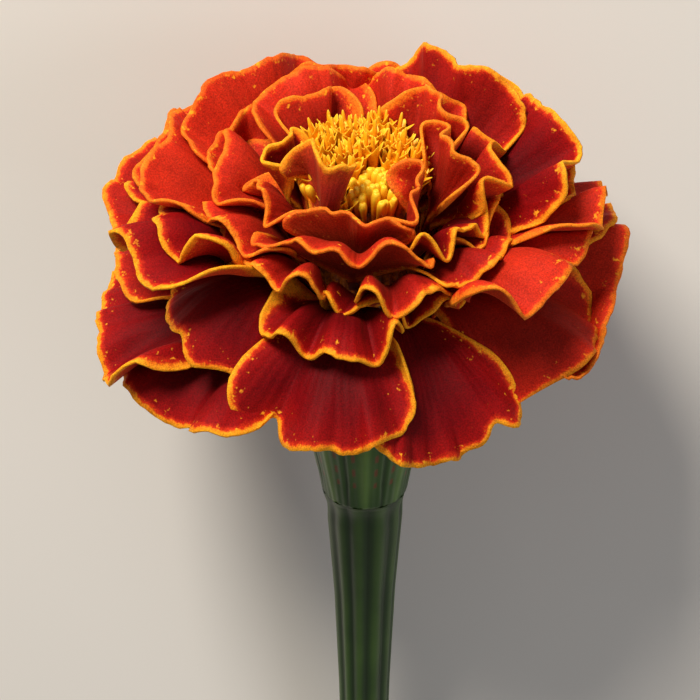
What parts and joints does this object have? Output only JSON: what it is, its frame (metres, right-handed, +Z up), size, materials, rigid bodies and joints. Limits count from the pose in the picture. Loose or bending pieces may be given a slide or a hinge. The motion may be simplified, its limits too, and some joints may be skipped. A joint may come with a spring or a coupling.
{
  "type": "marigold flower",
  "caption": "Double French marigold lying on its side: dark red ray petals with gold edges, yellow eye florets, green bract cup and cut stalk.",
  "frame": {"origin": "centre of the flower's footprint on the surface it lies on: the middle of its bounding box in X and Y, and its lowest points in Z", "axes": "+Z up from the surface; the stalk runs along Y with its cut end towards -Y, and the flower's face looks along +Y and 16 degrees up; +X is the flower's right side as seen from above with the face at the top"},
  "size_m": [0.053, 0.1024, 0.044],
  "materials": {
    "petal_red": "velvety petal tissue, dark red to orange-red with gold edges",
    "eye_gold": "matt golden-yellow florets",
    "cup_green": "smooth green bracts with a faint sheen",
    "stalk_green": "smooth dark green plant stem"
  },
  "bodies": {
    "root": {"stalk": "stalk_green", "bract_cup": "cup_green", "eye_florets": "eye_gold", "petal_skirt_back": "petal_red", "petal_skirt_low_right": "petal_red", "petal_skirt_low_front": "petal_red", "petal_skirt_front_left": "petal_red", "petal_skirt_low_right_front": "petal_red", "petal_skirt_back_left": "petal_red", "petal_skirt_left": "petal_red", "petal_skirt_back_right": "petal_red", "petal_skirt_left_back": "petal_red", "petal_skirt_right": "petal_red", "petal_lower_back": "petal_red", "petal_lower_back_left": "petal_red", "petal_lower_right_back": "petal_red", "petal_skirt_right_front": "petal_red", "petal_skirt_front_right": "petal_red", "petal_lower_front_left": "petal_red", "petal_skirt_front": "petal_red", "petal_lower_front": "petal_red", "petal_middle_left": "petal_red", "petal_middle_left_back": "petal_red", "petal_middle_back": "petal_red", "petal_middle_right_front": "petal_red", "petal_middle_back_right": "petal_red", "petal_middle_front": "petal_red", "petal_middle_front_right": "petal_red", "petal_middle_back_left": "petal_red", "petal_middle_right": "petal_red", "petal_middle_right_back": "petal_red", "petal_upper_left": "petal_red", "petal_upper_front_right": "petal_red", "petal_upper_front_left": "petal_red", "petal_upper_right_back": "petal_red", "petal_upper_left_back": "petal_red", "petal_upper_right_front": "petal_red", "petal_upper_back": "petal_red", "petal_upper_back_left": "petal_red", "petal_upper_back_right": "petal_red", "petal_crown_left_front": "petal_red", "petal_crown_right_front": "petal_red", "petal_crown_front": "petal_red", "petal_crown_left_back": "petal_red", "petal_crown_back": "petal_red", "petal_crown_right": "petal_red", "petal_crown_left": "petal_red", "petal_crown_back_right": "petal_red", "petal_crown_right_back": "petal_red", "petal_crown_back_left": "petal_red", "petal_heart_front": "petal_red", "petal_heart_left_front": "petal_red", "petal_heart_back_right": "petal_red", "petal_heart_right": "petal_red", "petal_heart_back_left": "petal_red", "petal_heart_right_front": "petal_red", "petal_heart_folded_front": "petal_red", "petal_heart_left": "petal_red"}
  },
  "joints": []
}
